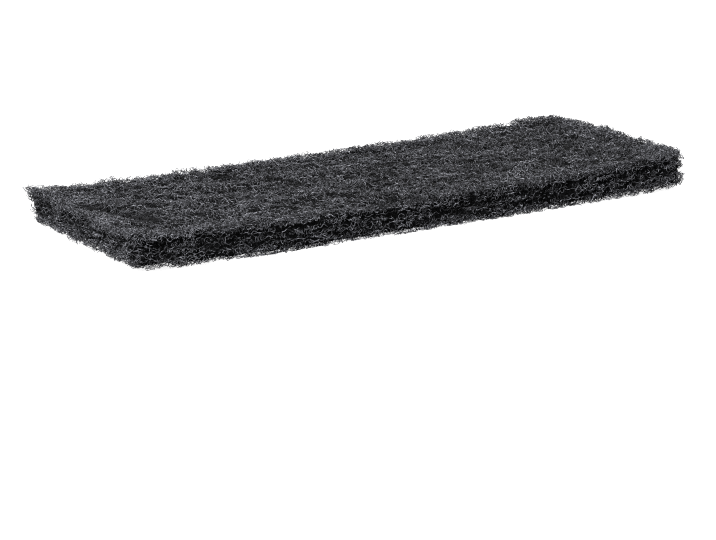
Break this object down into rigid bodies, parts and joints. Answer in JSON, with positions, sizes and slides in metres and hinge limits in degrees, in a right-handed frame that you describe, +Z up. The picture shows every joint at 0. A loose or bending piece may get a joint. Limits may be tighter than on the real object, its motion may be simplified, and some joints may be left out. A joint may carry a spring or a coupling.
{
  "type": "non-woven cleaning pad",
  "caption": "Rectangular non-woven scouring pad of lofty black fibre web with rounded corners and soft cut edges, for use by hand or on a pad holder.",
  "frame": {"origin": "on the resting plane, under the middle of the pad's bounding box", "axes": "+X along the pad's length, +Y across its width, +Z up through its thickness"},
  "size_m": [0.2554, 0.12, 0.0173],
  "materials": {
    "black_web": "open matt of crimped black nylon fibres, coated with resin and fine grit, with small glints along single fibres"
  },
  "bodies": {
    "root": {"pad": "black_web"}
  },
  "joints": []
}
